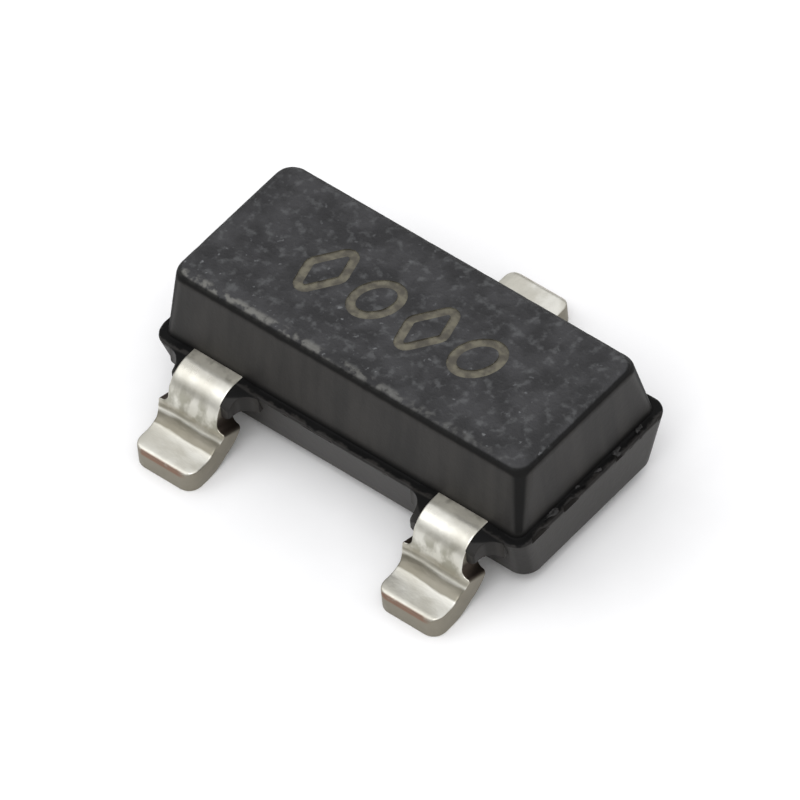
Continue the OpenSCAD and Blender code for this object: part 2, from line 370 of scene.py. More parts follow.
def grain(tree, per_mm, low=0.35, high=0.65, stretch=(1.0, 1.0, 1.0), detail=4.0):
    """Places the shared grain with values of its own; returns its outputs."""
    return add_node(tree, "ShaderNodeGroup", {
        "Features per mm": per_mm, "Detail": detail, "Low": low, "High": high,
        "Stretch": stretch}, node_tree=grain_tree).outputs


def blended(tree, share, first, second):
    """A mix of two colours, each a socket or a colour of three numbers."""
    first, second = (value if isinstance(value, bpy.types.NodeSocket) else (*value, 1.0)
                     for value in (first, second))
    return add_node(tree, "ShaderNodeMix", {"Factor": share, "A": first, "B": second},
                    data_type="RGBA").outputs["Result"]


def layered(tree, colour, *layers):
    """Lays (mask, share, colour) layers over a colour, the first one lowest."""
    for mask, share, layer in layers:
        colour = blended(tree, product(tree, mask, share), colour, layer)
    return colour


def ranged(tree, value, low, high):
    """A mask from 0 to 1 turned into a value from low to high."""
    return add_node(tree, "ShaderNodeMapRange",
                    {"Value": value, "To Min": low, "To Max": high}).outputs["Result"]


def bumped(tree, shader, height, depth, strength=1.0):
    """Feeds the shader a bump whose full height is a depth in millimetres."""
    node = add_node(tree, "ShaderNodeBump",
                    {"Distance": depth * MM, "Strength": strength, "Height": height})
    join(tree, node, shader.inputs["Normal"])


def grainy_material(name, pattern, dark, light, roughness, depth, metallic=0.0, specular=0.5):
    """A material whose colour, roughness and bump all follow one grain."""
    material, tree, shader = new_material(name)
    spots = grain(tree, **pattern)
    join(tree, blended(tree, spots["Mask"], dark, light), shader.inputs["Base Color"])
    join(tree, ranged(tree, spots["Mask"], *roughness), shader.inputs["Roughness"])
    shader.inputs["Metallic"].default_value = metallic
    shader.inputs["Specular IOR Level"].default_value = specular
    bumped(tree, shader, spots["Height"], depth)
    return material


# %% [markdown]
# ## The resin
#
# Epoxy moulding compound is almost jet black. What greys it is the soft mirror of its
# skin: the mould is spark-eroded, so the flat faces leave it finely pitted and show the
# sky as a veil. The rounded edges get painted shade, near black with a weaker mirror,
# and so do the ledge, the foot of the upper wall and the tops of the webs. The top was
# handled and wiped, so it is bluer and crinkled with pale scuffs, with a paler broken
# band just inside its front rim. The sides only carry faint streaks from sliding out of
# the mould. The material reads the height and the normal of the surface to tell these
# parts apart.

# %% Moulded resin
# places are in mm from the middle of the part, and heights are from the floor
TOP_BAND = (BODY_TOP - 0.026, BODY_TOP - 0.006)
RIM_BAND = (-0.468, -0.505)
RIM_FADE = (1.6, -0.9)
FOOT_WANDER = 0.09
FOOT_STEP = (0.012, 0.034)
WEB_STEP = (HALF_WIDTH - 0.008, HALF_WIDTH + 0.007)
EDGE_STEP = (0.955, 0.82)
# the near black of the painted shade on the rounded edges and the ledge
SHADE_BLACK = (0.005, 0.005, 0.005)
SCUFF = (0.095, 0.098, 0.10)
FLECK = (0.15, 0.155, 0.16)
RIM_PALE = (0.15, 0.148, 0.135)
LOWER_SKIN = (0.024, 0.022, 0.02)

resin, tree, shader = new_material("moulded_resin")
along_body, across_body, height = separated(tree, place_in_mm(tree))
is_top = stepped(tree, height, *TOP_BAND)
blotch = grain(tree, 5.0, 0.36, 0.66, detail=6.0)
crinkle = grain(tree, 15.0, 0.50, 0.72, detail=7.0)
speck = grain(tree, 19.0, 0.65, 0.74, detail=3.0)
drag = grain(tree, 9.0, 0.3, 0.7, stretch=(1.0, 1.0, 0.12))
pits = grain(tree, 50.0, detail=5.0)

# painted shade on the ledge, the foot of the upper wall and the tops of the webs; its outer line
# wanders
beside = maths(tree, "ABSOLUTE", across_body)
inset = maths(tree, "MINIMUM", maths(tree, "SUBTRACT", HALF_WIDTH, beside), maths(
    tree, "SUBTRACT", HALF_LENGTH, maths(tree, "ABSOLUTE", along_body)))
inset = wandering(tree, inset, crinkle["Height"], FOOT_WANDER)
at_foot = product(tree, maths(tree, "MAXIMUM", stepped(tree, inset, *FOOT_STEP),
                              stepped(tree, beside, *WEB_STEP)),
                  stepped(tree, height, PARTING - 0.018, PARTING - 0.006))
ledge_shade = product(tree, at_foot, stepped(tree, height, PARTING + 0.07, PARTING + 0.005))

# rounded edges get painted shade, most of all on the upper half: on a flat face the normal
# lies along one axis, and on a rounding it lies between two
normal = add_node(tree, "ShaderNodeNewGeometry").outputs["Normal"]
most, *others = separated(tree, vector_maths(tree, "ABSOLUTE", normal))
for other in others:
    most = maths(tree, "MAXIMUM", most, other)
edges = product(tree, stepped(tree, most, *EDGE_STEP),
                ranged(tree, stepped(tree, height, PARTING, PARTING + 0.06), 0.35, 0.85))

# a paler broken band lies just inside the front edge of the top, strongest on the left
front_rim = product(tree, stepped(tree, across_body, *RIM_BAND),
                    stepped(tree, along_body, *RIM_FADE),
                    stepped(tree, crinkle["Height"], 0.42, 0.58))
towards_front = stepped(tree, across_body, 0.3, -0.4)
speck_share = product(tree, speck["Mask"], ranged(tree, towards_front, 0.3, 0.75))

top_colour = layered(
    tree, blended(tree, blotch["Mask"], (0.008, 0.008, 0.009), (0.027, 0.027, 0.029)),
    (crinkle["Mask"], 0.5, SCUFF), (speck_share, 1.0, FLECK), (front_rim, 0.8, RIM_PALE))
side_colour = layered(
    tree, blended(tree, drag["Mask"], (0.013, 0.012, 0.011), (0.023, 0.021, 0.019)),
    (stepped(tree, height, PARTING, PARTING - 0.05), 1.0, LOWER_SKIN))
# painted shade: the rounded edges and the ledge are painted near black and mirror less
painted_shade = maths(tree, "MAXIMUM", edges, ledge_shade)
face_colour = blended(tree, is_top, side_colour, top_colour)
join(tree, blended(tree, painted_shade, face_colour, SHADE_BLACK), shader.inputs["Base Color"])
join(tree, ranged(tree, painted_shade, 0.5, 0.6), shader.inputs["Roughness"])
join(tree, product(tree, ranged(tree, is_top, 0.27, 0.42), ranged(tree, painted_shade, 1.0, 0.3)),
     shader.inputs["Specular IOR Level"])
pit_height = maths(tree, "ADD", pits["Height"], product(tree, crinkle["Height"], 1.6))
bumped(tree, shader, product(tree, pit_height, ranged(tree, is_top, 0.15, 1.0)), 0.008, 0.7)

# %% Torn flash, and the resin that a laser has etched
flash = grainy_material("torn_flash", {"per_mm": 35.0}, (0.012, 0.0115, 0.011),
                        (0.036, 0.035, 0.035), (0.55, 0.75), 0.003, specular=0.3)
etched = grainy_material("etched_resin", {"per_mm": 16.0, "detail": 6.0},
                         (0.055, 0.049, 0.036), (0.13, 0.12, 0.088), (0.6, 0.85), 0.003)
print("resin materials:", resin.name, etched.name, flash.name)

# %% [markdown]
# ## The tin
#
# The leads are copper alloy with a thin matt coat of tin. Tin is soft, so the forming
# tools leave it dented and burnished: brightest on the crest of the shoulder and on the
# foot, which the tools press. Shade is painted onto the tin: darker next to the wall and
# where the riser turns into the bend, dark olive in the hollow of the bend, darker olive
# on the stamped edges for the shade on their flanks, and brown in the notch above the
# stub. At the toe, where the lead was cut from its frame after plating, a line of bare
# copper shows. All this has to follow the metal round its bends, so the material reads
# two attributes that the leads keep from the time when they were still flat:
# *blank_place* and *blank_side*.

# %% Tin plating
# places along the flat blank, in mm from the middle of the part: a band has the places
# where it starts, is full, fades and ends
# painted shade: the tin next to the wall is painted darker, for the dark wall it mirrors
WALL_STEP = (0.735, 0.71)
CREST = (0.72, 0.745, 0.775, 0.80)
RISER_BAND = (0.80, 0.86, 0.985, 1.035)
# painted shade: the notch above the stub is painted brown
NOTCH = (0.832, 0.892, 0.952, 0.982)
# painted shade where the riser turns into the foot's bend
WAIST = (0.93, 0.98, 1.005, 1.03)
# painted shade: the hollow of the foot's bend is painted dark olive
HOLLOW = (1.035, 1.07, 1.17, 1.195)
CUT_STEP = (1.399, 1.409)
LINE_WANDER = 0.09


def blank_attribute(tree, name):
    """A vector attribute of the leads; returns the vector and its three parts."""
    node = add_node(tree, "ShaderNodeAttribute", attribute_name=name)
    return node.outputs["Vector"], separated(tree, node.outputs["Vector"])


def blank_noise(tree, blank, per_mm, stretch, detail=3.0):
    """Noise laid out on the flat blank, finer across than along when it is stretched."""
    return add_node(tree, "ShaderNodeTexNoise", {
        "Vector": vector_maths(tree, "MULTIPLY", blank, stretch),
        "Scale": per_mm, "Detail": detail})


tin, tree, shader = new_material("tin_plating")
blank, (blank_x, blank_y, blank_z) = blank_attribute(tree, "blank_place")
side_z = blank_attribute(tree, "blank_side")[1][2]

# adding the lead's own place in the part keeps the dents of the three leads apart
own_place = add_node(tree, "ShaderNodeTexCoord").outputs["Object"]
laid_out = vector_maths(tree, "MULTIPLY_ADD", own_place, (0.4 / MM, 0.0, 0.0), blank)
dents = blank_noise(tree, laid_out, 7.0, (0.75, 0.7, 1.0), 5.0)
smears = blank_noise(tree, laid_out, 13.0, (1.3, 0.6, 1.0), 6.0)
rolling = blank_noise(tree, laid_out, 22.0, (1.4, 0.15, 1.0))
fine = blank_noise(tree, laid_out, 60.0, (1.0, 1.0, 1.0), 4.0)
wavy_y = wandering(tree, blank_y, dents, LINE_WANDER)

# %% Where the tin is bright, where shade is painted on it, and where it is cut away
is_edge = stepped(tree, maths(tree, "ABSOLUTE", side_z), 0.75, 0.35)
at_wall = stepped(tree, wavy_y, *WALL_STEP)
# painted shade in the hollow of the bend, on the lead's upper face
hollow_shade = product(tree, banded(tree, wavy_y, *HOLLOW), stepped(tree, side_z, 0.3, 0.7))
cut_line = product(tree, stepped(tree, blank_y, *CUT_STEP), stepped(tree, blank_z, 0.034, 0.043),
                   stepped(tree, blank_x, -0.2, -0.12), stepped(tree, smears, 0.30, 0.44))
tin_colour = blended(tree, stepped(tree, dents, 0.40, 0.64), (0.71, 0.70, 0.64),
                     (0.55, 0.535, 0.47))
riser_colour = blended(tree, stepped(tree, smears, 0.42, 0.62), (0.70, 0.69, 0.63),
                       (0.33, 0.32, 0.26))
# painted shade: the tin next to the wall is painted darker, for the dark wall it mirrors
wall_shade_colour = blended(tree, stepped(tree, smears, 0.42, 0.6), (0.52, 0.50, 0.43),
                      (0.27, 0.255, 0.21))
# painted shade: the stamped edges are painted darker olive for the shade on the leads' flanks,
# and brown in the notch
edge_shade_colour = blended(tree, banded(tree, blank_y, *NOTCH), (0.27, 0.25, 0.205),
                      (0.07, 0.055, 0.045))
# layers from the lowest: the riser's blotches, painted shade where the riser turns into the bend,
# beside the wall, in the hollow and on the edges, then the bare copper at the toe
tin_colour = layered(tree, tin_colour, (banded(tree, wavy_y, *RISER_BAND), 0.8, riser_colour),
                     (banded(tree, wavy_y, *WAIST), 0.7, (0.34, 0.315, 0.25)),
                     (at_wall, 0.8, wall_shade_colour), (hollow_shade, 0.85, (0.17, 0.155, 0.115)),
                     (is_edge, 1.0, edge_shade_colour), (cut_line, 0.8, (0.26, 0.15, 0.105)))
join(tree, tin_colour, shader.inputs["Base Color"])
shader.inputs["Metallic"].default_value = 1.0
rough = maths(tree, "ADD", ranged(tree, rolling, 0.30, 0.46),
              product(tree, maths(tree, "MAXIMUM", is_edge, at_wall), 0.15))
rough = maths(tree, "SUBTRACT", rough, product(tree, banded(tree, wavy_y, *CREST), 0.1))
join(tree, rough, shader.inputs["Roughness"])
tin_height = product(tree, dents, ranged(tree, stepped(tree, blank_y, 0.98, 1.1), 0.35, 1.0))
for ripple, share in ((rolling, 0.16), (fine, 0.09)):
    tin_height = maths(tree, "ADD", tin_height, product(tree, ripple, share))
bumped(tree, shader, tin_height, 0.014, 0.6)
print("tin plating reads the leads' own attributes")

# %% [markdown]
# ## The pieces inside the resin
#
# The chip, its adhesive and the three gold wires are sealed in and never seen, but a
# reader who hides the body will look at them. They stay as the solid model made them
# and only get their finishes: polished silicon with a faint pattern of blocks, grainy
# silver-filled glue, and drawn gold.

# %% Silicon, adhesive and gold
silicon, tree, shader = new_material("polished_silicon")
own_place = add_node(tree, "ShaderNodeTexCoord").outputs["Object"]
blocks = add_node(tree, "ShaderNodeTexVoronoi", {"Scale": 16.0 / MM, "Vector": own_place},
                  distance="CHEBYCHEV")
block_tone = add_node(tree, "ShaderNodeSeparateColor", {0: blocks.outputs["Color"]}).outputs[0]
join(tree, blended(tree, block_tone, (0.10, 0.11, 0.16), (0.22, 0.20, 0.24)),
     shader.inputs["Base Color"])
join(tree, ranged(tree, grain(tree, 30.0)["Mask"], 0.12, 0.25), shader.inputs["Roughness"])
shader.inputs["Metallic"].default_value = 0.3
bumped(tree, shader, block_tone, 0.001)

adhesive = grainy_material("silver_adhesive", {"per_mm": 45.0, "low": 0.4, "high": 0.6},
                           (0.42, 0.40, 0.37), (0.66, 0.65, 0.62), (0.7, 0.4), 0.002)
gold = grainy_material(
    "drawn_gold", {"per_mm": 60.0, "low": 0.3, "high": 0.7, "stretch": (0.3, 0.3, 1.0)},
    (0.85, 0.60, 0.20), (0.95, 0.72, 0.30), (0.2, 0.32), 0.0006, metallic=1.0)

for node_name, material in (("die", silicon), ("die_attach", adhesive), ("wire_ground", gold),
                            ("wire_output", gold), ("wire_input", gold)):
    slots = frame["nodes"][node_name].material_slots
    for material_slot in slots:
        material_slot.material = material
    print(node_name, "->", material.name, "in", len(slots), "slot")

# %% [markdown]
# ## Moulding the body
#
# A moulded body is two shallow trays joined at a parting plane, each with its own draft
# so that it leaves the mould. The upper tray is a little smaller, which leaves a narrow
# ledge all round. Stacking rounded rectangles and skinning them is the natural way to
# make such a form: each ring is one height of the body, and the profile is only a list
# of how far each ring steps in. The ledge gets rings of its own, so that its rim can be
# made uneven, as real flash is, and ragged at the right-hand end, where the runner of
# resin was broken off.

# %% One ring of the body
CORNER_STEPS = 12
LONG_STEPS = 260
SHORT_STEPS = 150


def ring_points(half_x, half_y, corner, height):
    """A rounded rectangle as points that run anticlockwise from the right end."""
    sides = ((1, -1, 0), (1, 1, 90), (-1, 1, 180), (-1, -1, 270))
    points = []
    for index, (sign_x, sign_y, start) in enumerate(sides):
        steps = SHORT_STEPS if index % 2 == 0 else LONG_STEPS
        here = Vector((sign_x * (half_x - corner), sign_y * (half_y - corner)))
        out = Vector((math.cos(math.radians(start)), math.sin(math.radians(start)))) * corner
        following = sides[(index + 1) % 4]
        there = Vector((following[0] * (half_x - corner), following[1] * (half_y - corner)))
        begin, end = here + out, there + out
        points += [begin.lerp(end, step / steps) for step in range(steps)]
        for step in range(CORNER_STEPS):
            angle = math.radians(start + 90 * step / CORNER_STEPS)
            points.append(there + Vector((math.cos(angle), math.sin(angle))) * corner)
    return [Vector((point.x, point.y, height)) for point in points]


# %% The profile, from the underside to the top
def tray_ring(depth, inset, draft, half_x, half_y, corner):
    """Ring of a tray at a depth from its parting plane, stepped in by an inset."""
    return (half_x - depth * draft[0] - inset, half_y - depth * draft[1] - inset,
            max(corner - inset, 0.02))


def rounded_edge(radius, steps=6):
    """(drop, inset) pairs round an outer edge, from the wall to the flat face."""
    angles = [math.radians(90 * step / steps) for step in range(steps + 1)]
    return [(radius * (1 - math.sin(angle)), radius * (1 - math.cos(angle))) for angle in angles]


lower_height = PARTING - BODY_BOTTOM
upper_height = BODY_TOP - PARTING
profile = []
for drop, inset in reversed(rounded_edge(LOWER_EDGE)):
    profile.append((BODY_BOTTOM + drop, "lower", lower_height - drop, inset))
for depth in (0.3, 0.2, 0.1, 0.06, 0.035, 0.022):
    profile.append((PARTING - depth, "lower", depth, 0.0))
for drop, inset in rounded_edge(RIM_EDGE, 5):
    profile.append((PARTING - drop, "rim", drop, inset))
for step_in in (0.024, 0.034, 0.044, 0.056):
    profile.append((PARTING, "ledge", 0.0, step_in))
for rise in (0.004, 0.05, 0.15, 0.3, upper_height - UPPER_EDGE - 0.005):
    profile.append((PARTING + rise, "upper", rise, 0.0))
for drop, inset in rounded_edge(UPPER_EDGE, 10):
    profile.append((BODY_TOP - drop, "upper", upper_height - drop, inset))
print("rings in the body's profile:", len(profile))


# %% How the rim is broken
def ragged(point, seed, scale):
    """Smooth noise of about -1 to 1 at a point, the same in every run."""
    return noise.noise(Vector((point.x * scale, point.y * scale, seed)))


def soft_share(value, low, high):
    """0 below one value, 1 above another, and a smooth path between them."""
    share = max(0.0, min(1.0, (value - low) / (high - low)))
    return share * share * (3 - 2 * share)


def rim_nick(point):
    """How much of the rim is missing at a point, 0 to 1: most at the right-hand end."""
    at_end = soft_share(point.x, HALF_LENGTH - 0.1, HALF_LENGTH - 0.04)
    chips = ragged(point, 3.0, 7.0) + 0.3 * ragged(point, 5.0, 17.0)
    return (0.25 + 0.75 * at_end) * soft_share(chips, 0.0, 0.35)


# %% Skin the rings
def skin(work, rings):
    """Joins each ring of vertices to the next one with quads."""
    for near, far in zip(rings, rings[1:]):
        for index in range(len(near)):
            following = (index + 1) % len(near)
            work.faces.new((near[index], near[following], far[following], far[index]))


shell = bmesh.new()
rings = []
for height, part, depth, inset in profile:
    if part == "upper":
        sizes = tray_ring(depth, inset, UPPER_DRAFT, HALF_LENGTH - LEDGE, HALF_WIDTH - LEDGE,
                          UPPER_CORNER + CORNER_GROWTH * depth)
    else:
        sizes = tray_ring(depth, inset, LOWER_DRAFT, HALF_LENGTH, HALF_WIDTH, LOWER_CORNER)
    points = ring_points(*sizes, height)
    if part in ("rim", "ledge"):
        # broken towards the wall and downwards, fading out where the ledge meets the wall
        left = 1 - soft_share(inset, 0.02, 0.056)
        for point in points:
            nick = rim_nick(point) * left
            at_end = abs(point.x / HALF_LENGTH) > abs(point.y / HALF_WIDTH)
            inward = Vector((-point.x, 0, 0)) if at_end else Vector((0, -point.y, 0))
            point += inward.normalized() * nick * NICK_IN
            point.z += RIM_WAVE * left * ragged(point, 8.0, 16.0) - NICK_DOWN * nick
    elif part == "upper" and height > BODY_TOP - WEAR_DEPTH:
        # the top's edge is worn a little unevenly
        for point in points:
            wear = ragged(point, 2.0, 9.0) + 0.5 * ragged(point, 6.0, 23.0)
            point.z -= TOP_WEAR * max(0.0, wear)
    rings.append([shell.verts.new(point) for point in points])
skin(shell, rings)
shell.faces.new(list(reversed(rings[0])))
shell.faces.new(rings[-1])
bmesh.ops.remove_doubles(shell, verts=shell.verts, dist=1e-5)
body_mesh = written(shell, bpy.data.meshes.new("moulded_body"))
body_mesh.materials.append(resin)
print("moulded shell:", len(body_mesh.vertices), "vertices")

# %% [markdown]
# ## Webs beside the leads
#
# Resin creeps out of the mould beside each lead until the bar that joined the leads
# stops it. What stays are two webs at every lead, as thick as the metal, with a hollow
# flank like the water line round a post. Each is laid out as a row of upright sections:
# the flank swings in along a quarter circle, the top follows the lead's bend, and the
# tips are worn round. No two are alike, so every web has its own length and reach. A
# boolean joins them to the shell, and the body is one skin.

# %% Sizes of the webs
LEAD_PITCH = 1.9
LEAD_THICK = 0.16
SHOULDER_TOP = 0.52
NECK_HALF = 0.1925
WEB_TOP = SHOULDER_TOP - 0.004
WEB_BOTTOM = SHOULDER_TOP - LEAD_THICK
WEB_HOLLOW = 0.111
WEB_EDGE = 0.012
WEB_SAG = 0.018
WEB_TIP = 0.02
SHOULDER_RADIUS = 0.03 + LEAD_THICK
SHOULDER_START = HALF_WIDTH - LEDGE + 0.07


def web_height(out):
    """Height of a web's top at a distance out: flat, then following the lead's bend."""
    past_bend = max(0.0, out - SHOULDER_START)
    drop = SHOULDER_RADIUS - math.sqrt(SHOULDER_RADIUS ** 2 - min(past_bend, 0.18) ** 2)
    return WEB_TOP - drop


def web_stations(length, tip):
    """(distance out, half width) pairs from inside the wall to the worn tip of a web."""
    end = HALF_WIDTH + length
    stations = [(0.6, tip + WEB_HOLLOW)]
    stations += [(HALF_WIDTH + swing, tip + left) for left, swing in rounded_edge(WEB_HOLLOW, 16)]
    stations = [(out, half) for out, half in stations if out < end - WEB_TIP]
    return stations + [(end - drop, tip - inset) for drop, inset in rounded_edge(WEB_TIP, 5)]


# %% Draw the webs
webs = bmesh.new()
web_sizes = ((-LEAD_PITCH / 2, -1, -1, 0.125, 0.222), (-LEAD_PITCH / 2, -1, 1, 0.15, 0.252),
             (LEAD_PITCH / 2, -1, -1, 0.155, 0.246), (LEAD_PITCH / 2, -1, 1, 0.15, 0.25),
             (0.0, 1, -1, 0.15, 0.249), (0.0, 1, 1, 0.14, 0.24))
for middle, way, side, length, tip in web_sizes:
    loops = []
    for out, outer in web_stations(length, tip):
        inner = NECK_HALF - 0.004
        outer = max(outer, inner + 0.02)
        high, low = web_height(out), WEB_BOTTOM
        rim = high - WEB_SAG
        section = ((inner, low), (outer - WEB_EDGE, low), (outer, low + WEB_EDGE),
                   (outer, rim - WEB_EDGE), (outer - 0.3 * WEB_EDGE, rim - 0.3 * WEB_EDGE),
                   (outer - WEB_EDGE, rim), (inner + 0.02, high - 0.3 * WEB_SAG), (inner, high))
        loops.append([webs.verts.new((middle + side * across, way * out, up))
                      for across, up in section])
    skin(webs, loops)
    webs.faces.new(loops[0])
    webs.faces.new(list(reversed(loops[-1])))
web_mesh = written(webs, bpy.data.meshes.new("webs"))
web_mesh.materials.append(resin)
web_object = new_object("webs", web_mesh)
print("webs:", len(web_mesh.polygons), "faces")

# %% [markdown]
# ## Etched marks
#
# Real packages carry a short row of laser marks. This one gets plain shapes instead:
# lozenges and rings in turn, slanted like a tool's handwriting. Geometry Nodes sweep a
# shallow groove along each outline, and a boolean cuts it from the top. The groove's
# faces carry the etched material, so the cut itself paints the mark.


# %% Round the corners of an outline
def softened(corners, step=15.0):
    """Replaces each (x, y, radius) corner by an arc that meets both of its sides."""
    outline = []
    for index, (x, y, radius) in enumerate(corners):
        here = Vector((x, y))
        before = Vector(corners[index - 1][:2]) - here
        after = Vector(corners[(index + 1) % len(corners)][:2]) - here
        if radius == 0:
            outline.append(here)
            continue
        opening = before.angle(after)
        reach = radius / math.tan(opening / 2)
        first = here + before.normalized() * reach
        last = here + after.normalized() * reach
        centre = here + (before.normalized() + after.normalized()).normalized() * (
            radius / math.sin(opening / 2))
        sweep = math.pi - opening
        steps = max(2, round(math.degrees(sweep) / step))
        begin = first - centre
        sign = 1 if begin.angle_signed(last - centre) < 0 else -1
        for count in range(steps + 1):
            turned = sign * sweep * count / steps
            outline.append(centre + Matrix.Rotation(turned, 2) @ begin)
    return outline


# %% Outlines of the marks
MARK_HEIGHT = 0.5
MARK_WIDTH = 0.25
MARK_SLANT = 0.12
MARK_STEP = 0.39
MARK_LEFT = -0.6
MARK_BASE = -0.25
MARK_TIP = 0.045
RING_HALF_HEIGHT = 0.3


def slanted(column, across, up):
    """A point of a mark: across and up run from 0 to 1 within its slanted box."""
    lean = MARK_SLANT * (up - 0.5)
    return (MARK_LEFT + column * MARK_STEP + (across - 0.5) * MARK_WIDTH + lean,
            MARK_BASE + up * MARK_HEIGHT)


mark_curve = bpy.data.curves.new("mark_outlines", "CURVE")
mark_curve.dimensions = "3D"
for column in range(4):
    if column % 2 == 0:
        tips = [slanted(column, *tip) for tip in ((0.5, 0), (1, 0.5), (0.5, 1), (0, 0.5))]
        outline = softened([(x, y, MARK_TIP) for x, y in tips], 12.0)
    else:
        turns = [math.radians(angle) for angle in range(0, 360, 10)]
        outline = [slanted(column, 0.5 + 0.5 * math.cos(turn),
                           0.5 + RING_HALF_HEIGHT * math.sin(turn)) for turn in turns]
    add_outline(mark_curve, outline, BODY_TOP)
print("mark outlines:", len(mark_curve.splines))


# %% The tree that sweeps a groove
def end_tree(tree, geometry, material, group_out):
    """Ends a Geometry Nodes tree: its geometry made real and given a material."""
    real = add_node(tree, "GeometryNodeRealizeInstances", {"Geometry": geometry})
    painted = add_node(tree, "GeometryNodeSetMaterial", {"Geometry": real, "Material": material})
    join(tree, painted, group_out["Geometry"])


groove_tree, groove, groove_out = group_tree(
    "sweep_groove", "GeometryNodeTree",
    [("Outlines", "Geometry", None), ("Groove width", "Float", 0.062),
     ("Groove depth", "Float", 0.009), ("Material", "Material", None)],
    [("Geometry", "Geometry")])
to_points = add_node(groove_tree, "GeometryNodeResampleCurve",
                     {"Curve": groove["Outlines"], "Length": 0.02}, mode="LENGTH")
bit = add_node(groove_tree, "GeometryNodeCurvePrimitiveQuadrilateral", {
    "Width": groove["Groove width"],
    "Height": product(groove_tree, groove["Groove depth"], 2.0)})
swept = add_node(groove_tree, "GeometryNodeCurveToMesh",
                 {"Curve": to_points, "Profile Curve": bit, "Fill Caps": True})
end_tree(groove_tree, swept, groove["Material"], groove_out)


# %% Run a tree on an object
def run_tree(thing, tree, **values):
    """Puts a tree on an object, sets its inputs by name, and returns the plain mesh."""
    modifier = thing.modifiers.new(tree.name, "NODES")
    modifier.node_group = tree
    for item in tree.interface.items_tree:
        label = item.name.replace(" ", "_").lower()
        if item.item_type == "SOCKET" and item.in_out == "INPUT" and label in values:
            modifier[item.identifier] = values[label]
    return evaluated_mesh(thing)


groove_mesh = run_tree(new_object("marks", mark_curve), groove_tree, groove_width=0.062,
                       groove_depth=0.009, material=etched)
cutter = bmesh.new()
cutter.from_mesh(groove_mesh)
groove_object = new_object("grooves", written(cutter, groove_mesh))
print("groove cutter:", len(groove_mesh.polygons), "faces")

# %% [markdown]
# ## Crumbs of flash
#
# Where the runner of resin was broken off the right-hand end, torn crumbs of flash stay
# on the ledge. A second tree strings a few flat stones of uneven size along a path with a
# fixed seed, turns each one at random, roughens them with noise, and gives them the look
# of torn resin.

# %% The tree that strings crumbs along a path
crumb_tree, crumb, crumb_out = group_tree(
    "string_crumbs", "GeometryNodeTree",
    [("Path", "Geometry", None), ("Count", "Int", 20),
     ("Size", "Float", 0.01), ("Spread", "Float", 0.01),
     ("Seed", "Int", 7), ("Material", "Material", None)],
    [("Geometry", "Geometry")])


def random_vector(low, high, extra):
    """A random vector for each crumb; extra keeps the draws independent."""
    seed = maths(crumb_tree, "ADD", crumb["Seed"], extra)
    return add_node(crumb_tree, "FunctionNodeRandomValue",
                    {"Min": low, "Max": high, "Seed": seed},
                    data_type="FLOAT_VECTOR").outputs["Value"]


def scaled(tree, vector, size):
    """A vector times a number."""
    return add_node(tree, "ShaderNodeVectorMath", {"Vector": vector, "Scale": size},
                    operation="SCALE").outputs["Vector"]


strung = add_node(crumb_tree, "GeometryNodeCurveToPoints",
                  {"Curve": crumb["Path"], "Count": crumb["Count"]}, mode="COUNT")
aside = random_vector((-0.3, -2.5, -0.2), (0.2, 2.5, 0.1), 0.0)
moved = add_node(crumb_tree, "GeometryNodeSetPosition",
                 {"Geometry": strung, "Offset": scaled(crumb_tree, aside, crumb["Spread"])})
stone = add_node(crumb_tree, "GeometryNodeMeshIcoSphere",
                 {"Subdivisions": 3, "Radius": crumb["Size"]})
placed = add_node(crumb_tree, "GeometryNodeInstanceOnPoints", {
    "Points": moved, "Instance": stone,
    "Rotation": random_vector((-0.2, -0.2, -0.4), (0.2, 0.2, 0.4), 1.0),
    "Scale": random_vector((0.4, 0.8, 0.3), (1.0, 2.4, 0.5), 2.0)})
stones = add_node(crumb_tree, "GeometryNodeRealizeInstances", {"Geometry": placed})
lumps = add_node(crumb_tree, "ShaderNodeTexNoise", {"Scale": 45.0}).outputs["Color"]
centred = vector_maths(crumb_tree, "SUBTRACT", lumps, (0.5, 0.5, 0.5))
roughened = add_node(crumb_tree, "GeometryNodeSetPosition", {
    "Geometry": stones, "Offset": scaled(crumb_tree, centred, crumb["Size"])})
end_tree(crumb_tree, roughened, crumb["Material"], crumb_out)

# %% String the crumbs along the right-hand ledge
CRUMB_LINE = ((1.28, -0.668), (1.345, -0.655), (1.385, -0.6), (1.39, 0.0), (1.39, 0.55))
CRUMB_SINK = 0.006

crumb_path = bpy.data.curves.new("crumb_path", "CURVE")
crumb_path.dimensions = "3D"
add_outline(crumb_path, CRUMB_LINE, PARTING - CRUMB_SINK, closed=False)
crumb_mesh = run_tree(new_object("crumbs", crumb_path), crumb_tree, count=6, size=0.032,
                      spread=0.05, seed=11, material=flash)
crumb_object = new_object("crumbs", crumb_mesh)
print("crumbs:", len(crumb_mesh.polygons), "faces")

# %% Join the webs and the crumbs, and cut the marks
body_object = new_object("moulded_body_rough", body_mesh)
for label, operation, other in (("webs", "UNION", web_object),
                                ("crumbs", "UNION", crumb_object),
                                ("marks", "DIFFERENCE", groove_object)):
    boolean = body_object.modifiers.new(label, "BOOLEAN")
    boolean.operation = operation
    boolean.object = other
    boolean.solver = "EXACT"
    boolean.use_self = True
    boolean.material_mode = "TRANSFER"
rough_mesh = evaluated_mesh(body_object)
for worker in (web_object, crumb_object, groove_object):
    bpy.data.objects.remove(worker)

# %% Close the slivers and gaps that the cuts leave
SLIVER = 0.0006

cleaned = bmesh.new()
cleaned.from_mesh(rough_mesh)
bmesh.ops.remove_doubles(cleaned, verts=cleaned.verts, dist=SLIVER)
bmesh.ops.dissolve_degenerate(cleaned, dist=SLIVER, edges=cleaned.edges)
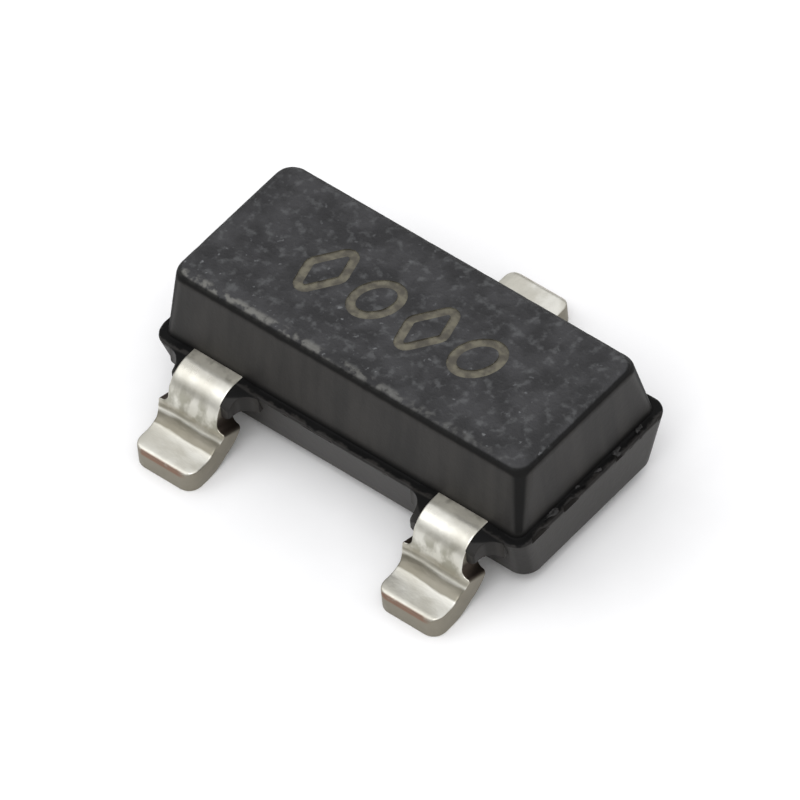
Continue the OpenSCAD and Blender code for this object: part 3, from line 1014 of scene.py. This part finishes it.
# two gaps about 0.01 mm wide are left beside the webs
gap_edges = [edge for edge in cleaned.edges if not edge.is_manifold]
bmesh.ops.holes_fill(cleaned, edges=gap_edges, sides=0)
print("open edges on the body:", sum(1 for edge in cleaned.edges if not edge.is_manifold))
written(cleaned, rough_mesh).validate()

# %% Settle the body's shading
shaded_object = new_object("moulded_body_shaded", smoothed(rough_mesh, 32))
weighted = shaded_object.modifiers.new("flat_faces_stay_flat", "WEIGHTED_NORMAL")
weighted.keep_sharp = True
body_piece = finished_piece("moulded_body", evaluated_mesh(shaded_object), "body")
print("materials on the body:", [slot.name for slot in body_piece.data.materials])

# %% [markdown]
# ## Stamping and forming the leads
#
# A lead starts as a flat blank punched from strip: a neck, the stub left by the bar that
# tied the leads together, and a foot. Its two bends come afterwards, in a press. The
# lesson follows the same order. A filled 2D curve with a bevel gives the blank with its
# edges already rounded, cuts are laid across it where it will bend, and a small
# Geometry Nodes tree then does the press's work: every point keeps its distance from the
# metal's middle line while that line is led round the two bends.

# %% Sizes of the strip
SHOULDER_BEND = 0.11
FOOT_BEND = 0.25
SLOPE = math.radians(76.0)
RISER = 0.0898
TOE_SPAN_HALF = 1.225
STUB_START = 0.09
STUB_HALF = 0.265
FOOT_HALF = 0.232
riser_start = SHOULDER_START + SHOULDER_BEND * SLOPE
foot_start = riser_start + RISER + FOOT_BEND * SLOPE
foot_out = (SHOULDER_START + SHOULDER_BEND * math.sin(SLOPE) + RISER * math.cos(SLOPE)
            + FOOT_BEND * math.sin(SLOPE))
flat_toe = foot_start + TOE_SPAN_HALF - foot_out
print("flat length to the toe:", round(flat_toe, 4), "mm")


# %% The outer half of every blank
def outer_half():
    """Corners from the neck to the middle of the toe, on the right-hand side."""
    stub = riser_start + STUB_START
    return [(NECK_HALF, stub, 0.046), (STUB_HALF, stub, 0.024),
            (FOOT_HALF, stub + 0.174, 0.05), (FOOT_HALF, flat_toe, 0.09)]


def blank_outline(inner_half):
    """A whole outline from its right-hand half, mirrored to the left."""
    right = inner_half + outer_half()
    left = [(-x, y, radius) for x, y, radius in reversed(right)]
    return softened(right + left)


PAD = [(0.28, 0.316, 0.05), (0.28, 0.586, 0.05), (NECK_HALF, 0.586, 0.0)]
PADDLE = [(0.57, -0.234, 0.05), (0.57, 0.446, 0.05), (NECK_HALF, 0.446, 0.0)]
KEY_HOLES = [(0.46, -0.124), (-0.46, -0.124)]
STAMPED_EDGE = 0.012
KEY_HOLE = 0.05


# %% Stamp a blank
def stamped_blank(name, inner_half, holes):
    """A flat blank of full thickness with rounded edges, drawn as a filled curve."""
    data = bpy.data.curves.new(name, "CURVE")
    data.dimensions = "2D"
    data.fill_mode = "BOTH"
    data.extrude = LEAD_THICK / 2 - STAMPED_EDGE
    data.bevel_depth = STAMPED_EDGE
    data.bevel_resolution = 2
    data.offset = -STAMPED_EDGE
    outlines = [blank_outline(inner_half)]
    for x, y in holes:
        outlines.append([(x + KEY_HOLE * math.cos(turn), y + KEY_HOLE * math.sin(turn))
                         for turn in [math.radians(15 * count) for count in range(24)]])
    for outline in outlines:
        add_outline(data, outline, 0.0)
    return evaluated_mesh(new_object(name, data))


# %% Lay cuts across a blank and roll its toe
TOE_ROLL = 0.045
TOOL_LINE = riser_start + RISER + 0.07
TOOL_RIDGE = 0.004
RIDGE_WIDTH = 0.018


def prepared(blank_mesh):
    """Cuts the blank where it will bend, rolls its toe, and lays the tool's ridge on it."""
    work = bmesh.new()
    work.from_mesh(blank_mesh)
    bmesh.ops.remove_doubles(work, verts=work.verts, dist=1e-5)
    along = [SHOULDER_START + SHOULDER_BEND * SLOPE * step / 16 for step in range(17)]
    along += [riser_start + RISER + FOOT_BEND * SLOPE * step / 22 for step in range(23)]
    along += [riser_start + RISER / 2]
    along += [flat_toe - TOE_ROLL * step / 8 for step in range(1, 9)]
    along += [TOOL_LINE + 0.006 * step for step in range(-7, 8)]
    cuts = [((0, place, 0), (0, 1, 0)) for place in along]
    cuts += [((place, 0, 0), (1, 0, 0)) for place in (-0.15, -0.075, 0.0, 0.075, 0.15)]
    for place, normal in cuts:
        bmesh.ops.bisect_plane(work, geom=work.verts[:] + work.edges[:] + work.faces[:],
                               plane_co=place, plane_no=normal, dist=1e-5)
    for vert in work.verts:
        over = vert.co.y - (flat_toe - TOE_ROLL)
        if over > 0 and vert.co.z > 0:
            drop = TOE_ROLL - math.sqrt(max(TOE_ROLL ** 2 - over ** 2, 0.0))
            vert.co.z -= drop * vert.co.z / (LEAD_THICK / 2)
        if vert.co.z > LEAD_THICK / 2 - STAMPED_EDGE:
            wander = TOOL_LINE + 0.03 * ragged(Vector((vert.co.x, 0, 0)), 11.0, 5.0)
            vert.co.z += TOOL_RIDGE * math.exp(-((vert.co.y - wander) / RIDGE_WIDTH) ** 2)
    return written(work, blank_mesh)


# %% The tree that bends a blank
press_tree, press, press_out = group_tree(
    "form_lead", "GeometryNodeTree",
    [("Blank", "Geometry", None), ("Shoulder start", "Float", 0.7),
     ("Shoulder bend", "Float", 0.1), ("Riser", "Float", 0.1),
     ("Foot bend", "Float", 0.2), ("Slope", "Float", 1.3),
     ("Middle height", "Float", 0.4), ("Material", "Material", None)],
    [("Geometry", "Geometry")])
flat_place = add_node(press_tree, "GeometryNodeInputPosition")
across, along, above = separated(press_tree, flat_place)


def press_maths(operation, *values):
    """A Math node in the press's tree."""
    return maths(press_tree, operation, *values)


shoulder_arc = press_maths("MULTIPLY", press["Shoulder bend"], press["Slope"])
past_start = press_maths("SUBTRACT", along, press["Shoulder start"])
past_shoulder = press_maths("SUBTRACT", past_start, shoulder_arc)
past_riser = press_maths("SUBTRACT", past_shoulder, press["Riser"])
shoulder_turn = held(press_tree, press_maths("DIVIDE", past_start, press["Shoulder bend"]),
                     0.0, press["Slope"])
foot_turn = held(press_tree, press_maths("DIVIDE", past_riser, press["Foot bend"]),
                 0.0, press["Slope"])
on_riser = held(press_tree, past_shoulder, 0.0, press["Riser"])
foot_arc = press_maths("MULTIPLY", press["Foot bend"], press["Slope"])
on_foot = press_maths("MAXIMUM", press_maths("SUBTRACT", past_riser, foot_arc), 0.0)
left_turn = press_maths("SUBTRACT", press["Slope"], foot_turn)
heading = press_maths("SUBTRACT", shoulder_turn, foot_turn)

# %% Add up the way out and the way down
way_out = press_maths("MINIMUM", along, press["Shoulder start"])
for length, share in (
        (press["Shoulder bend"], press_maths("SINE", shoulder_turn)),
        (on_riser, press_maths("COSINE", press["Slope"])),
        (press["Foot bend"], press_maths("SUBTRACT", press_maths("SINE", press["Slope"]),
                                         press_maths("SINE", left_turn))),
        (on_foot, 1.0),
        (above, press_maths("SINE", heading))):
    way_out = press_maths("ADD", way_out, press_maths("MULTIPLY", length, share))
height = press["Middle height"]
for length, share in (
        (press["Shoulder bend"], press_maths("SUBTRACT", press_maths("COSINE", shoulder_turn),
                                             1.0)),
        (on_riser, press_maths("MULTIPLY", press_maths("SINE", press["Slope"]), -1.0)),
        (press["Foot bend"], press_maths("SUBTRACT", press_maths("COSINE", press["Slope"]),
                                         press_maths("COSINE", left_turn))),
        (above, press_maths("COSINE", heading))):
    height = press_maths("ADD", height, press_maths("MULTIPLY", length, share))


def kept_attribute(geometry, name, domain, value):
    """Stores a vector on the blank's geometry before it is bent."""
    return add_node(press_tree, "GeometryNodeStoreNamedAttribute",
                    {"Geometry": geometry, "Name": name, "Value": value},
                    data_type="FLOAT_VECTOR", domain=domain)


flat_side = add_node(press_tree, "GeometryNodeInputNormal")
metal = kept_attribute(press["Blank"], "blank_place", "POINT", flat_place)
metal = kept_attribute(metal, "blank_side", "FACE", flat_side)
formed_place = add_node(press_tree, "ShaderNodeCombineXYZ", {0: across, 1: way_out, 2: height})
bend = add_node(press_tree, "GeometryNodeSetPosition",
                {"Geometry": metal, "Position": formed_place})
end_tree(press_tree, bend, press["Material"], press_out)

# %% Form the three leads
half_turn = Matrix.Rotation(math.pi, 4, "Z")
left_place = Matrix.Translation((-LEAD_PITCH / 2, 0, 0)) @ half_turn
right_place = Matrix.Translation((LEAD_PITCH / 2, 0, 0)) @ half_turn
lead_places = (("lead_front_left", "lead_1", PAD, [], left_place),
               ("lead_front_right", "lead_2", PAD, [], right_place),
               ("lead_rear", "lead_3", PADDLE, KEY_HOLES, Matrix.Identity(4)))
for piece_name, node_name, inner_half, holes, place in lead_places:
    blank_mesh = prepared(stamped_blank(piece_name + "_blank", inner_half, holes))
    formed = run_tree(new_object(piece_name + "_blank", blank_mesh), press_tree,
                      shoulder_start=SHOULDER_START, shoulder_bend=SHOULDER_BEND, riser=RISER,
                      foot_bend=FOOT_BEND, slope=SLOPE,
                      middle_height=SHOULDER_TOP - LEAD_THICK / 2, material=tin)
    formed.transform(place)
    finished_piece(piece_name, smoothed(formed, 40), node_name)

# %% [markdown]
# ## The floor's finish
#
# The floor only has to be plain and pale, with just enough variation that it reads as
# a surface and not as a hole in the picture.

# %% Pale floor
paper, tree, shader = new_material("pale_floor")
fibres = grain(tree, 1.2, 0.3, 0.7)["Mask"]
join(tree, blended(tree, fibres, (0.90, 0.90, 0.90), (0.93, 0.93, 0.93)),
     shader.inputs["Base Color"])
shader.inputs["Roughness"].default_value = 0.9
floor_mesh.materials.append(paper)
